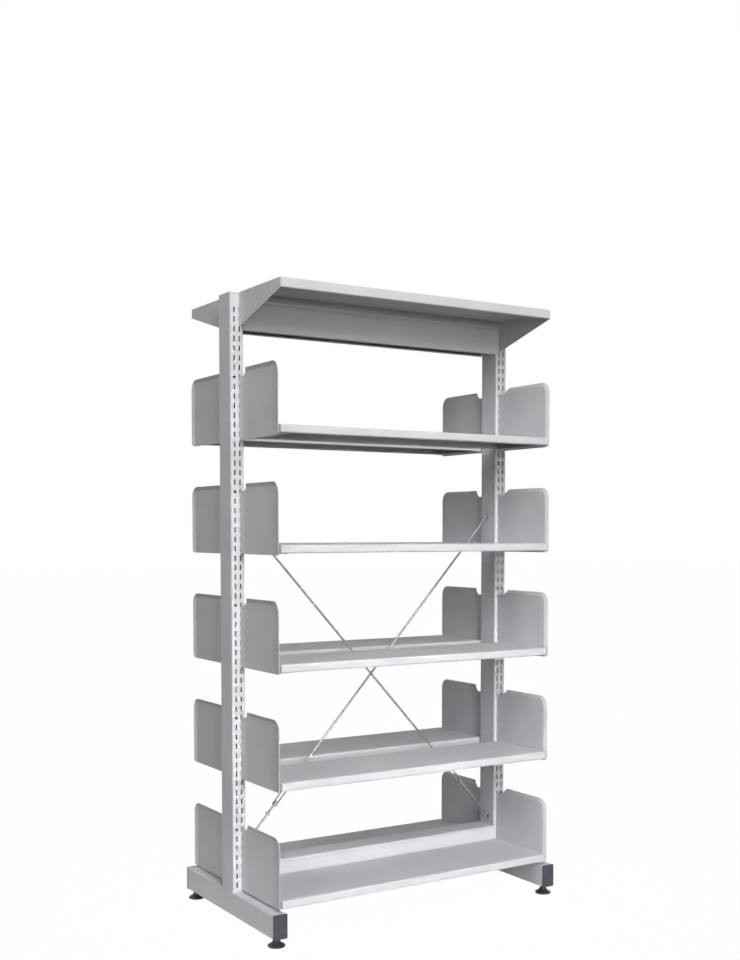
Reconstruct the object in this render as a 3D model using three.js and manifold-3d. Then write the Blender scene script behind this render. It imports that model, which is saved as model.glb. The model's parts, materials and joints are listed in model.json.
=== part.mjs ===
// Double sided library shelving: two slotted uprights on base beams, tied by two spreaders
// and a pair of crossed brace rods. Five shelves and a canopy hook onto each side.
// Millimetres, +Z up, origin on the floor under the middle of the unit.
// X runs along the shelves, -Y is the front side and +Y the back side.

import * as THREE from 'three';
import { mergeVertices } from 'three/addons/utils/BufferGeometryUtils.js';
import Module from 'manifold-3d';

const wasm = await Module();
wasm.setup();

// Clearances
const seatGap = 0.3;
const slideGap = 0.6;

// Sheet metal
const sheet = 1.5;
const foldRadius = 4;
const foldSteps = 1;

// Uprights and their slots
const postSpacing = 875;
const postWidth = 38;
const postDepth = 70;
const postWall = 2;
const tubeRadius = 3;
const slotPitch = 25;
const slotHeight = 14;
const slotWidth = 4;
const slotColumnOffset = 7.5;
const slotsPerLevel = 12;
const slotsAboveLevels = 2;
const levelCount = 5;
const firstSlotRise = 20;
const postHeadroom = 42.5;
const markerSlot = 6;
const markerDiameter = 9;
const markerSides = 6;
const postCapThickness = 2.5;
const plugDepth = 12;

// Base beams and feet
const baseWidth = 38;
const baseHeight = 62;
const baseLength = 530;
const baseWall = 2;
const baseCapThickness = 3;
const baseCapOverhang = 1;
const footHeight = 24;
const footPadDiameter = 45;
const footPadEdge = 4;
const footConeHeight = 11;
const footCollarDiameter = 17;
const footStemDiameter = 10;
const footStemLength = 34;
const footPlugGap = 3;
const footSides = 10;

// Shelf trays
const shelfReach = 228;
const shelfRearGap = 5;
const trayHeight = 21.2;
const trayHem = 16;

// Side panels and their hooks
const panelReach = 226;
const panelHeight = 182;
const panelDrop = 11;
const panelCorner = 30;
const panelNotch = 19;
const panelLedge = 26;
const flareRun = 13;
const flareOut = 7;
const flangeWidth = 28;
const flangeInset = 6;
const hookSlots = [1, 5];
const hookNeck = 5;
const hookDrop = 8;
const hookFinger = 5;

// Canopy
const canopyReach = 233;
const canopyLip = 26;
const canopyRearLip = 21;
const bracketRise = 45.2;
const bracketHeight = 87;
const bracketTip = 24;
const windowWidth = 16;
const windowHeight = 14;
const windowReach = 45;
const windowDrop = 6;

// Spreaders between the uprights
const spreaderHeight = 78;
const spreaderProud = 1.5;
const spreaderNose = 9;
const spreaderNoseProud = 1.5;
const spreaderLip = 15;
const spreaderTabWidth = 60;
const spreaderTabHeight = 64;
const bottomSpreaderRise = 72;
const topSpreaderDrop = 15.5;

// Crossed brace rods
const rodDiameter = 6;
const rodSides = 6;
const braceRise = 34;
const braceHeight = 900;
const rodCrossGap = 4;
const elbowGap = 7;
const hookLeg = 12;
const bendEase = 4;
const braceHoleWidth = 11;
const braceHoleSlack = 12;
const buckleDistance = 178;
const buckleLength = 64;
const bossLength = 11;
const bossDiameter = 14;
const bossSides = 8;
const buckleBarWidth = 7;
const buckleBarDepth = 3.2;
const rodTipGap = 22;
const nutWidth = 11;
const nutThickness = 5;
const nutRunBack = 26;

// Heights and places worked out from the sizes above
const baseTop = footHeight + baseHeight;
const slotCount = slotsPerLevel * levelCount + slotsAboveLevels;
const postCentre = postSpacing / 2;
const postFront = postDepth / 2;
const postInner = postCentre - postWidth / 2;
const postBottom = baseTop + seatGap;
const postTop = slotCentre(slotCount - 1) + postHeadroom;
const panelCentre = postCentre - slotColumnOffset;
const panelInner = panelCentre - sheet / 2;
const panelOuter = panelCentre + sheet / 2;
const panelRear = postFront + seatGap;
const trayHalfLength = panelInner - slideGap;
const trayRear = postFront + shelfRearGap;
const bracketTop = slotCentre(slotCount - 1) + bracketRise;
const bottomSpreaderTop = baseTop + bottomSpreaderRise;
const topSpreaderTop = postTop - topSpreaderDrop;
const braceLow = bottomSpreaderTop + braceRise;
const braceHigh = braceLow + braceHeight;
const braceOffset = (rodDiameter + rodCrossGap) / 2;
const beyond = 2 * (postTop + postSpacing + baseLength);

function slotCentre(index) {
  return baseTop + firstSlotRise + index * slotPitch;
}

// Solids: joining and cutting closed meshes

function toSolid(geometry) {
  const bare = geometry.index ? geometry.toNonIndexed() : geometry.clone();
  bare.deleteAttribute('normal');
  bare.deleteAttribute('uv');
  const merged = mergeVertices(bare, 1e-4);
  const mesh = new wasm.Mesh({
    numProp: 3,
    vertProperties: new Float32Array(merged.attributes.position.array),
    triVerts: new Uint32Array(merged.index.array),
  });
  return new wasm.Manifold(mesh);
}

function toGeometry(solid) {
  const mesh = solid.getMesh();
  const geometry = new THREE.BufferGeometry();
  geometry.setAttribute('position', new THREE.BufferAttribute(mesh.vertProperties, 3));
  geometry.setIndex(new THREE.BufferAttribute(mesh.triVerts, 1));
  geometry.computeVertexNormals();
  return geometry;
}

function join(geometries) {
  return toGeometry(wasm.Manifold.union(geometries.map(toSolid)));
}

function cut(geometry, tools) {
  return toGeometry(toSolid(geometry).subtract(wasm.Manifold.union(tools.map(toSolid))));
}

// Basic forms

function box(xRange, yRange, zRange) {
  const ranges = [xRange, yRange, zRange];
  const geometry = new THREE.BoxGeometry(...ranges.map(([low, high]) => high - low));
  return geometry.translate(...ranges.map(([low, high]) => (low + high) / 2));
}

function drawnOut(shape, depth, curveSegments) {
  return new THREE.ExtrudeGeometry(shape, { depth, bevelEnabled: false, curveSegments });
}

// A shape drawn in (y, z) and drawn out along X
function alongX(shape, start, end, curveSegments = foldSteps) {
  const geometry = drawnOut(shape, end - start, curveSegments);
  return geometry.applyMatrix4(axes('y', 'z', 'x')).translate(start, 0, 0);
}

// A shape drawn in (z, x) and drawn out along Y
function alongY(shape, start, end, curveSegments = foldSteps) {
  const geometry = drawnOut(shape, end - start, curveSegments);
  return geometry.applyMatrix4(axes('z', 'x', 'y')).translate(0, start, 0);
}

// A shape drawn in (x, y) and drawn out along Z
function alongZ(shape, start, end, curveSegments = foldSteps) {
  return drawnOut(shape, end - start, curveSegments).translate(0, 0, start);
}

function axes(first, second, third) {
  const unit = {
    x: new THREE.Vector3(1, 0, 0),
    y: new THREE.Vector3(0, 1, 0),
    z: new THREE.Vector3(0, 0, 1),
  };
  return new THREE.Matrix4().makeBasis(unit[first], unit[second], unit[third]);
}

// The same piece for the other hand, with its faces still pointing out
function mirroredInX(geometry) {
  const flipped = (geometry.index ? geometry.toNonIndexed() : geometry.clone()).scale(-1, 1, 1);
  const position = flipped.attributes.position;
  const first = new THREE.Vector3();
  const second = new THREE.Vector3();
  for (let corner = 0; corner < position.count; corner += 3) {
    first.fromBufferAttribute(position, corner);
    second.fromBufferAttribute(position, corner + 1);
    position.setXYZ(corner, second.x, second.y, second.z);
    position.setXYZ(corner + 1, first.x, first.y, first.z);
  }
  flipped.computeVertexNormals();
  return flipped;
}

function rectangle(width, height) {
  const right = width / 2;
  const top = height / 2;
  return polygon([[-right, -top], [right, -top], [right, top], [-right, top]]);
}

function roundedRectangle(width, height, radius) {
  const outline = new THREE.Shape();
  const right = width / 2;
  const top = height / 2;
  outline.moveTo(-right + radius, -top);
  outline.lineTo(right - radius, -top);
  outline.absarc(right - radius, -top + radius, radius, -Math.PI / 2, 0);
  outline.lineTo(right, top - radius);
  outline.absarc(right - radius, top - radius, radius, 0, Math.PI / 2);
  outline.lineTo(-right + radius, top);
  outline.absarc(-right + radius, top - radius, radius, Math.PI / 2, Math.PI);
  outline.lineTo(-right, -top + radius);
  outline.absarc(-right + radius, -top + radius, radius, Math.PI, 1.5 * Math.PI);
  return outline;
}

function tubeSection(width, height, wall) {
  const section = roundedRectangle(width, height, tubeRadius);
  section.holes.push(rectangle(width - 2 * wall, height - 2 * wall));
  return section;
}

function polygon(points) {
  return new THREE.Shape(points.map(([across, up]) => new THREE.Vector2(across, up)));
}

// A cap with a plug that fits inside a tube: drawn in the tube's section plane
function capAndPlug(width, height, wall, thickness, overhang, drawOut) {
  const plate = roundedRectangle(width + 2 * overhang, height + 2 * overhang, tubeRadius);
  const inside = wall + seatGap;
  const plug = rectangle(width - 2 * inside, height - 2 * inside);
  return join([
    drawOut(plate, seatGap, seatGap + thickness),
    drawOut(plug, -plugDepth, seatGap + thickness / 2),
  ]);
}

// Uprights

function isMarker(index) {
  return index % slotsPerLevel === markerSlot;
}

function slotCutter(x, index) {
  const z = slotCentre(index);
  return box(
    [x - slotWidth / 2, x + slotWidth / 2],
    [-postDepth, postDepth],
    [z - slotHeight / 2, z + slotHeight / 2],
  );
}

function markerCutter(x, index) {
  const radius = markerDiameter / 2;
  const hole = new THREE.CylinderGeometry(radius, radius, 2 * postDepth, markerSides);
  return hole.rotateY(Math.PI / markerSides).translate(x, 0, slotCentre(index));
}

// An upright hole that a rod hook enters, long on the side away from the pull
function braceHole(side, yCentre, zRod, slackSign) {
  const radius = braceHoleWidth / 2;
  const seat = zRod + slackSign * (radius - rodDiameter / 2 - seatGap);
  const reach = zRod + slackSign * braceHoleSlack;
  const low = Math.min(seat, reach);
  const high = Math.max(seat, reach);
  const hole = new THREE.Shape();
  hole.absarc(yCentre, high, radius, 0, Math.PI);
  hole.absarc(yCentre, low, radius, Math.PI, 2 * Math.PI);
  const wallMiddle = side * (postInner + postWall / 2);
  return alongX(hole, wallMiddle - postWall, wallMiddle + postWall, rodSides / 2);
}

function uprightGeometry(side) {
  const tube = alongZ(tubeSection(postWidth, postDepth, postWall), postBottom, postTop);
  tube.translate(side * postCentre, 0, 0);
  const innerColumn = side * (postCentre - slotColumnOffset);
  const outerColumn = side * (postCentre + slotColumnOffset);
  const cutters = [];
  for (let index = 0; index < slotCount; index += 1) {
    cutters.push(slotCutter(innerColumn, index));
    cutters.push(isMarker(index) ? markerCutter(outerColumn, index) : slotCutter(outerColumn, index));
  }
  cutters.push(braceHole(side, side * braceOffset, braceHigh, 1));
  cutters.push(braceHole(side, -side * braceOffset, braceLow, -1));
  return cut(tube, cutters);
}

function uprightCapGeometry(side) {
  const cap = capAndPlug(postWidth, postDepth, postWall, postCapThickness, 0, alongZ);
  return cap.translate(side * postCentre, 0, postTop);
}

// Base beams, end caps and feet

const footAway = baseLength / 2 - plugDepth - footPlugGap - footStemDiameter / 2;

function baseBeamGeometry(side) {
  const beam = alongY(tubeSection(baseHeight, baseWidth, baseWall), -baseLength / 2, baseLength / 2);
  beam.translate(side * postCentre, 0, footHeight + baseHeight / 2);
  const radius = footStemDiameter / 2 + slideGap;
  const holes = [-1, 1].map((face) => {
    const hole = new THREE.CylinderGeometry(radius, radius, 4 * baseWall, footSides).rotateX(Math.PI / 2);
    return hole.translate(side * postCentre, face * footAway, footHeight);
  });
  return cut(beam, holes);
}

function baseCapGeometry() {
  return capAndPlug(baseHeight, baseWidth, baseWall, baseCapThickness, baseCapOverhang, alongY);
}

function footGeometry() {
  const pad = footPadDiameter / 2;
  const collar = footCollarDiameter / 2;
  const stem = footStemDiameter / 2;
  const collarTop = footHeight - seatGap;
  const profile = [
    [0, 0],
    [pad, 0],
    [pad, footPadEdge],
    [collar, footPadEdge + footConeHeight],
    [collar, collarTop],
    [stem, collarTop],
    [stem, collarTop + footStemLength],
    [0, collarTop + footStemLength],
  ];
  const lathe = new THREE.LatheGeometry(profile.map(([r, z]) => new THREE.Vector2(r, z)), footSides);
  return lathe.rotateX(Math.PI / 2).rotateZ(Math.PI / 2);
}

// Spreaders

function spreaderGeometry(top) {
  const skirt = postFront + spreaderProud;
  const nose = skirt + spreaderNoseProud;
  const bottom = top - spreaderHeight;
  const noseBottom = top - spreaderNose;
  const section = new THREE.Shape();
  section.moveTo(-skirt, bottom);
  section.lineTo(-skirt + spreaderLip, bottom);
  section.lineTo(-skirt + spreaderLip, bottom + sheet);
  section.lineTo(-skirt + sheet, bottom + sheet);
  section.lineTo(-skirt + sheet, noseBottom);
  section.lineTo(-nose + sheet, noseBottom + spreaderNoseProud);
  section.lineTo(-nose + sheet, top - foldRadius);
  section.lineTo(-nose + foldRadius, top - sheet);
  section.lineTo(nose - foldRadius, top - sheet);
  section.lineTo(nose - sheet, top - foldRadius);
  section.lineTo(nose - sheet, noseBottom + spreaderNoseProud);
  section.lineTo(skirt - sheet, noseBottom);
  section.lineTo(skirt - sheet, bottom + sheet);
  section.lineTo(skirt - spreaderLip, bottom + sheet);
  section.lineTo(skirt - spreaderLip, bottom);
  section.lineTo(skirt, bottom);
  section.lineTo(skirt, noseBottom);
  section.lineTo(nose, noseBottom + spreaderNoseProud);
  section.lineTo(nose, top - foldRadius);
  section.absarc(nose - foldRadius, top - foldRadius, foldRadius, 0, Math.PI / 2);
  section.lineTo(-nose + foldRadius, top);
  section.absarc(-nose + foldRadius, top - foldRadius, foldRadius, Math.PI / 2, Math.PI);
  section.lineTo(-nose, noseBottom + spreaderNoseProud);
  section.lineTo(-skirt, noseBottom);
  const halfLength = postInner - seatGap;
  const channel = alongX(section, -halfLength, halfLength);
  const tabs = [-1, 1].map((side) => {
    const ends = [side * (halfLength - sheet), side * halfLength].sort((a, b) => a - b);
    const tabBottom = Math.max(top - spreaderTabHeight, postBottom);
    return box(ends, [-spreaderTabWidth / 2, spreaderTabWidth / 2], [tabBottom, top - sheet / 2]);
  });
  return join([channel, ...tabs]);
}

// Folded trays: a shelf or a canopy, drawn for the front side

function trayGeometry(front, rear, top, frontHeight, rearHeight, halfLength) {
  const section = new THREE.Shape();
  const inside = foldRadius - sheet;
  const frontBottom = top - frontHeight;
  const rearBottom = top - rearHeight;
  section.moveTo(-front, frontBottom);
  section.lineTo(-front + trayHem, frontBottom);
  section.lineTo(-front + trayHem, frontBottom + sheet);
  section.lineTo(-front + sheet, frontBottom + sheet);
  section.lineTo(-front + sheet, top - foldRadius);
  section.absarc(-front + foldRadius, top - foldRadius, inside, Math.PI, Math.PI / 2, true);
  section.lineTo(-rear - foldRadius, top - sheet);
  section.absarc(-rear - foldRadius, top - foldRadius, inside, Math.PI / 2, 0, true);
  section.lineTo(-rear - sheet, rearBottom);
  section.lineTo(-rear, rearBottom);
  section.lineTo(-rear, top - foldRadius);
  section.absarc(-rear - foldRadius, top - foldRadius, foldRadius, 0, Math.PI / 2);
  section.lineTo(-front + foldRadius, top);
  section.absarc(-front + foldRadius, top - foldRadius, foldRadius, Math.PI / 2, Math.PI);
  return alongX(section, -halfLength, halfLength);
}

function panelBottom(level) {
  return slotCentre(level * slotsPerLevel) - panelDrop;
}

function shelfGeometry(level) {
  const top = panelBottom(level) + sheet + seatGap + trayHeight;
  return trayGeometry(postFront + shelfReach, trayRear, top, trayHeight, trayHeight, trayHalfLength);
}

function canopyGeometry() {
  const top = bracketTop + seatGap + sheet;
  return trayGeometry(postFront + canopyReach, trayRear, top, canopyLip, canopyRearLip, trayHalfLength);
}

// Hooks, side panels and canopy brackets, drawn for the front left corner

const leftSheet = [-panelOuter, -panelInner];

// The edge of a hook that reaches through a slot and hangs down behind the upright's wall
function hookEdge(slotIndex) {
  const bottom = slotCentre(slotIndex) - slotHeight / 2 + seatGap;
  const fingerFront = -(postFront - postWall - seatGap);
  const fingerRear = fingerFront + hookFinger;
  return [
    [-panelRear, bottom],
    [fingerFront, bottom],
    [fingerFront, bottom - hookDrop],
    [fingerRear, bottom - hookDrop],
    [fingerRear, bottom + hookNeck],
    [-panelRear, bottom + hookNeck],
  ];
}

// One side of the flared plate: flat up to the outline, then a rim that leans outward
function flaredSolid(outline, flatFace, out) {
  const geometry = new THREE.ExtrudeGeometry(outline, {
    depth: out,
    bevelEnabled: true,
    bevelThickness: out,
    bevelSize: flareRun * out / flareOut,
    bevelSegments: 1,
    curveSegments: 2 * foldSteps,
  });
  return geometry.applyMatrix4(axes('y', 'z', 'x')).translate(flatFace - 2 * out, 0, 0);
}

function sidePanelGeometry(level) {
  const bottom = panelBottom(level);
  const top = bottom + panelHeight;
  const flatFront = -(postFront + panelReach) + flareRun;
  const flatTop = top - flareRun;
  const corner = panelCorner - flareRun;
  const outline = new THREE.Shape();
  outline.moveTo(0, bottom - panelHeight);
  outline.lineTo(0, flatTop);
  outline.lineTo(flatFront + corner, flatTop);
  outline.absarc(flatFront + corner, flatTop - corner, corner, Math.PI / 2, Math.PI);
  outline.lineTo(flatFront, bottom - panelHeight);
  const behindRearEdge = polygon([
    [-panelRear, bottom - beyond],
    ...hookSlots.flatMap((step) => hookEdge(level * slotsPerLevel + step)),
    [-panelRear, top - panelNotch],
    [-panelRear - panelLedge, top - panelNotch],
    [-panelRear - panelLedge - panelNotch, top],
    [-panelRear - panelLedge - panelNotch, beyond],
    [beyond, beyond],
    [beyond, bottom - beyond],
  ]);
  const plate = cut(flaredSolid(outline, -panelInner, flareOut), [
    flaredSolid(outline, -panelOuter, flareOut - sheet),
    box([-beyond, -panelInner - flareOut], [-beyond, beyond], [-beyond, beyond]),
    box([-beyond, beyond], [-beyond, beyond], [-beyond, bottom]),
    alongX(behindRearEdge, -beyond, beyond),
  ]);
  const flange = box(
    [-panelOuter, -panelOuter + flangeWidth],
    [flatFront, -(panelRear + flangeInset)],
    [bottom, bottom + sheet],
  );
  return join([plate, flange]);
}

function canopyBracketGeometry() {
  const front = -(postFront + canopyReach) + sheet;
  const bottom = bracketTop - bracketHeight;
  const outline = polygon([
    [-panelRear, bottom],
    ...hookEdge(slotCount - 2),
    ...hookEdge(slotCount - 1),
    [-panelRear, bracketTop],
    [front, bracketTop],
    [front, bracketTop - bracketTip],
    [-(panelRear + panelNotch / 2), bottom],
  ]);
  const windowRear = -(postFront + windowReach);
  const windowTop = bracketTop - windowDrop;
  const plate = cut(alongX(outline, ...leftSheet), [
    box([-beyond, beyond], [windowRear - windowWidth, windowRear], [windowTop - windowHeight, windowTop]),
  ]);
  const flange = box(
    [-panelOuter, -panelOuter + flangeWidth],
    [front + foldRadius + sheet, -(trayRear + foldRadius)],
    [bracketTop - sheet, bracketTop],
  );
  return join([plate, flange]);
}

// Crossed brace rods: each pair is named for the side of its upper end

function braceLine(side) {
  const y = side * braceOffset;
  const elbow = postInner - elbowGap;
  const lower = new THREE.Vector3(-side * elbow, y, braceLow);
  const upper = new THREE.Vector3(side * elbow, y, braceHigh);
  const direction = upper.clone().sub(lower).normalize();
  const across = new THREE.Vector3(direction.z, 0, -direction.x);
  const frame = new THREE.Matrix4().makeBasis(across, direction, across.clone().cross(direction));
  const turned = new THREE.Quaternion().setFromRotationMatrix(frame);
  const buckle = lower.clone().addScaledVector(direction, buckleDistance);
  return { lower, upper, direction, turned, buckle };
}

// A rod's centre line through the given places
class RodLine extends THREE.Curve {
  constructor(places) {
    super();
    this.places = places;
  }

  nearest(share) {
    return Math.round(share * (this.places.length - 1));
  }

  getPointAt(share) {
    return this.places[this.nearest(share)].clone();
  }

  getTangentAt(share) {
    const index = this.nearest(share);
    const here = this.places[index];
    const before = this.places[index - 1];
    const after = this.places[index + 1];
    const tangent = new THREE.Vector3();
    if (before) tangent.add(here.clone().sub(before).normalize());
    if (after) tangent.add(after.clone().sub(here).normalize());
    return tangent.normalize();
  }
}

function towards(start, end, distance) {
  return start.clone().addScaledVector(end.clone().sub(start).normalize(), distance);
}

// A rod with a hook: in through the upright's wall, then along behind it
function hookedRod(tip, elbow, legSign) {
  const behindWall = postInner + postWall + seatGap + rodDiameter / 2;
  const turn = new THREE.Vector3(Math.sign(elbow.x) * behindWall, elbow.y, elbow.z);
  const legEnd = turn.clone().setZ(turn.z + legSign * hookLeg);
  const line = new RodLine([
    tip,
    towards(elbow, tip, bendEase),
    towards(elbow, turn, bendEase),
    towards(turn, elbow, bendEase),
    towards(turn, legEnd, bendEase),
    legEnd,
  ]);
  const section = new THREE.Shape();
  section.absarc(0, 0, rodDiameter / 2, 0, 2 * Math.PI);
  return new THREE.ExtrudeGeometry(section, {
    steps: line.places.length - 1,
    extrudePath: line,
    curveSegments: rodSides / 2,
    bevelEnabled: false,
  });
}

function upperRodGeometry(side) {
  const { upper, direction, buckle } = braceLine(side);
  return hookedRod(buckle.clone().addScaledVector(direction, rodTipGap / 2), upper, 1);
}

function lowerRodGeometry(side) {
  const { lower, direction, buckle } = braceLine(side);
  return hookedRod(buckle.clone().addScaledVector(direction, -rodTipGap / 2), lower, -1);
}

// Turnbuckle and lock nut, drawn along their own Y axis

function rodBore(length) {
  const radius = rodDiameter / 2 + slideGap;
  return new THREE.CylinderGeometry(radius, radius, length, bossSides);
}

function turnbuckleGeometry() {
  const half = buckleLength / 2;
  const bossRadius = bossDiameter / 2;
  const barMiddle = bossRadius - buckleBarDepth / 2;
  const pieces = [-1, 1].flatMap((end) => [
    new THREE.CylinderGeometry(bossRadius, bossRadius, bossLength, bossSides)
      .translate(0, end * (half - bossLength / 2), 0),
    box(
      [end * barMiddle - buckleBarDepth / 2, end * barMiddle + buckleBarDepth / 2],
      [-half + bossLength / 2, half - bossLength / 2],
      [-buckleBarWidth / 2, buckleBarWidth / 2],
    ),
  ]);
  return cut(join(pieces), [rodBore(2 * buckleLength)]);
}

function lockNutGeometry() {
  const radius = nutWidth / Math.sqrt(3);
  const hexagon = new THREE.CylinderGeometry(radius, radius, nutThickness, 6);
  return cut(hexagon, [rodBore(2 * nutThickness)]);
}

// Materials

function paintedSteel() {
  return new THREE.MeshStandardMaterial({ color: 0xd3d3d6, roughness: 0.55, metalness: 0.1 });
}

function darkPlastic() {
  return new THREE.MeshStandardMaterial({ color: 0x4a4850, roughness: 0.6, metalness: 0 });
}

function blackRubber() {
  return new THREE.MeshStandardMaterial({ color: 0x1c1c1e, roughness: 0.8, metalness: 0 });
}

function platedSteel() {
  return new THREE.MeshStandardMaterial({ color: 0xa8aaad, roughness: 0.35, metalness: 0.9 });
}

// Assembly

function addPiece(parent, name, geometry, material) {
  const mesh = new THREE.Mesh(geometry, material);
  mesh.name = name;
  parent.add(mesh);
  return mesh;
}

const SIDES = [
  { side: -1, word: 'left' },
  { side: 1, word: 'right' },
];

function addFrame(parent) {
  for (const { side, word } of SIDES) {
    addPiece(parent, `upright_${word}`, uprightGeometry(side), paintedSteel());
    addPiece(parent, `upright_cap_${word}`, uprightCapGeometry(side), paintedSteel());
    addPiece(parent, `base_beam_${word}`, baseBeamGeometry(side), paintedSteel());
    for (const [face, faceWord] of [[-1, 'front'], [1, 'back']]) {
      const cap = addPiece(parent, `base_cap_${word}_${faceWord}`, baseCapGeometry(), darkPlastic());
      cap.position.set(side * postCentre, face * baseLength / 2, footHeight + baseHeight / 2);
      cap.rotation.z = face > 0 ? 0 : Math.PI;
      const foot = addPiece(parent, `foot_${word}_${faceWord}`, footGeometry(), blackRubber());
      foot.position.set(side * postCentre, face * footAway, 0);
    }
  }
  addPiece(parent, 'top_spreader', spreaderGeometry(topSpreaderTop), paintedSteel());
  addPiece(parent, 'bottom_spreader', spreaderGeometry(bottomSpreaderTop), paintedSteel());
}

function addBraces(parent) {
  for (const { side, word } of SIDES) {
    const { direction, turned, buckle } = braceLine(side);
    addPiece(parent, `brace_rod_upper_${word}`, upperRodGeometry(side), platedSteel());
    addPiece(parent, `brace_rod_lower_${word}`, lowerRodGeometry(side), platedSteel());
    const turnbuckle = addPiece(parent, `turnbuckle_${word}`, turnbuckleGeometry(), platedSteel());
    turnbuckle.position.copy(buckle);
    turnbuckle.quaternion.copy(turned);
    const nut = addPiece(parent, `lock_nut_${word}`, lockNutGeometry(), platedSteel());
    const nutDistance = buckleLength / 2 + nutRunBack + nutThickness / 2;
    nut.position.copy(buckle).addScaledVector(direction, -nutDistance);
    nut.quaternion.copy(turned);
  }
}

// The back side is the front side turned half round, so its left hand comes out on the right
function addFace(parent, faceWord, turned) {
  const face = new THREE.Group();
  face.rotation.z = turned ? Math.PI : 0;
  parent.add(face);
  const words = turned ? ['right', 'left'] : ['left', 'right'];
  for (let level = 0; level < levelCount; level += 1) {
    const panel = sidePanelGeometry(level);
    const place = `${faceWord}_${level + 1}`;
    addPiece(face, `shelf_${place}`, shelfGeometry(level), paintedSteel());
    addPiece(face, `side_panel_${place}_${words[0]}`, panel, paintedSteel());
    addPiece(face, `side_panel_${place}_${words[1]}`, mirroredInX(panel), paintedSteel());
  }
  const bracket = canopyBracketGeometry();
  addPiece(face, `canopy_${faceWord}`, canopyGeometry(), paintedSteel());
  addPiece(face, `canopy_bracket_${faceWord}_${words[0]}`, bracket, paintedSteel());
  addPiece(face, `canopy_bracket_${faceWord}_${words[1]}`, mirroredInX(bracket), paintedSteel());
}

const shelving = new THREE.Group();
addFrame(shelving);
addBraces(shelving);
addFace(shelving, 'front', false);
addFace(shelving, 'back', true);

export default shelving;
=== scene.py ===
"""The visible pieces, finishes and stage of a double sided library shelving unit.

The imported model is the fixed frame: the uprights and their caps, the base beams and the canopy
brackets keep its solids, and the folded sheet metal, feet, braces and end caps are modelled here
over them.
"""

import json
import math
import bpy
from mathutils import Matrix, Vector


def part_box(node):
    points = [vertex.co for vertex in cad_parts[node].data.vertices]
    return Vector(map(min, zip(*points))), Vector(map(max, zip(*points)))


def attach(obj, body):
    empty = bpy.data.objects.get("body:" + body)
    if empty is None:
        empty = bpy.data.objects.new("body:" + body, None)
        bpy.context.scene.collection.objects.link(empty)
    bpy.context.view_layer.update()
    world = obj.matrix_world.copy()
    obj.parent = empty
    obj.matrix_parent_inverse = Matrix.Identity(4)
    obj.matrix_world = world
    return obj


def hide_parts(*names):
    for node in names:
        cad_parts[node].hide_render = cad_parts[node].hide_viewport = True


bl_info = {
    "name": "Double Sided Library Shelving",
    "version": (1, 0, 0),
    "blender": (4, 5, 0),
    "location": "View3D > Sidebar > Shelving",
    "description": "Models the sheet metal, feet, braces and finishes of a library shelving unit",
    "category": "Add Mesh",
}

import bmesh
import bpy
from mathutils import Matrix, Vector

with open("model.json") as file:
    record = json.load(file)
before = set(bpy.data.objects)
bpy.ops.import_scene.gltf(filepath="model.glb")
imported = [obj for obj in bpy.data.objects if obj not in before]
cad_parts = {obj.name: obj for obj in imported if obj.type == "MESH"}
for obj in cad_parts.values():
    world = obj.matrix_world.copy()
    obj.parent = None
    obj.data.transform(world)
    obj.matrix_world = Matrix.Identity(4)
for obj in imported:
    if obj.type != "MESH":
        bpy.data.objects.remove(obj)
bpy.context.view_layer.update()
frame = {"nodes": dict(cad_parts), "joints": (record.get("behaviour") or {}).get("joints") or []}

FACES = ("front", "back")
SIDES = ("left", "right")
CORNERS = [(face, side) for face in FACES for side in SIDES]
LEVELS = range(1, 6)

# how near a place in metres or a turn in radians comes to count as met, and how much of a face's
# normal points a way for the face to count as facing it
NEAR = 0.00002
NEAR_TURN = 0.01
FACING = 0.9


def linear(hex_colour):
    """An sRGB hex colour as linear red, green, blue and alpha."""
    channels = [int(hex_colour[start:start + 2], 16) / 255 for start in (1, 3, 5)]
    return [c / 12.92 if c <= 0.04045 else ((c + 0.055) / 1.055) ** 2.4 for c in channels] + [1.0]


def length(name, description, metres):
    """A size that can be set, in metres."""
    return bpy.props.FloatProperty(
        name=name, description=description, default=metres, min=0.0, subtype="DISTANCE", unit="LENGTH"
    )


def colour(name, description, hex_colour):
    """A colour that can be set, written as sRGB hex."""
    return bpy.props.FloatVectorProperty(
        name=name, description=description, default=linear(hex_colour), size=4, subtype="COLOR"
    )


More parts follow.
